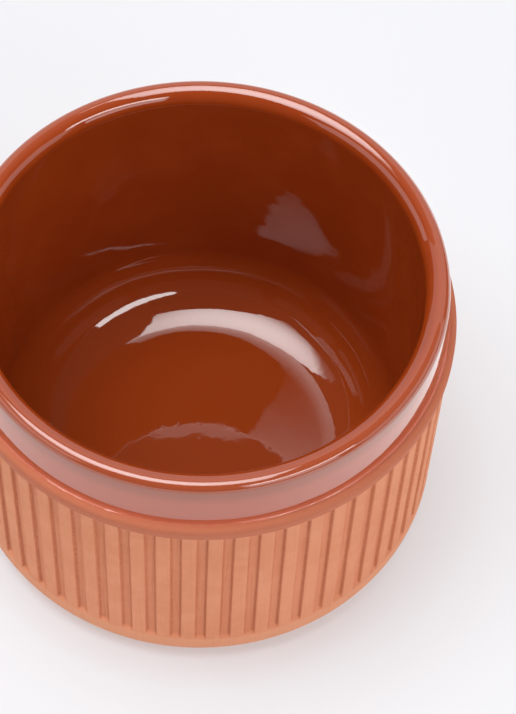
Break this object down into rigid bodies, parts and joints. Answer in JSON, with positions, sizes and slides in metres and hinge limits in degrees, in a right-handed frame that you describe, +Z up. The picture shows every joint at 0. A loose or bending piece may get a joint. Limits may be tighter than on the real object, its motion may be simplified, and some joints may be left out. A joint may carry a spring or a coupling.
{
  "type": "dip bowl",
  "caption": "Round terracotta dip bowl, glazed inside and over its rounded lip, with a plain raised ring and fine vertical ribs on the raw clay outside.",
  "frame": {"origin": "centre of the foot, on the surface that the bowl stands on", "axes": "+Z up along the bowl's axis; +X and +Y any two level directions, as the bowl is round"},
  "size_m": [0.09, 0.09, 0.0615],
  "materials": {
    "raw_clay": "matt, unglazed fired clay",
    "glaze": "clear gloss glaze over the clay, inside, over the lip and down the upright band"
  },
  "bodies": {
    "root": {"bowl": "raw_clay"}
  },
  "joints": []
}
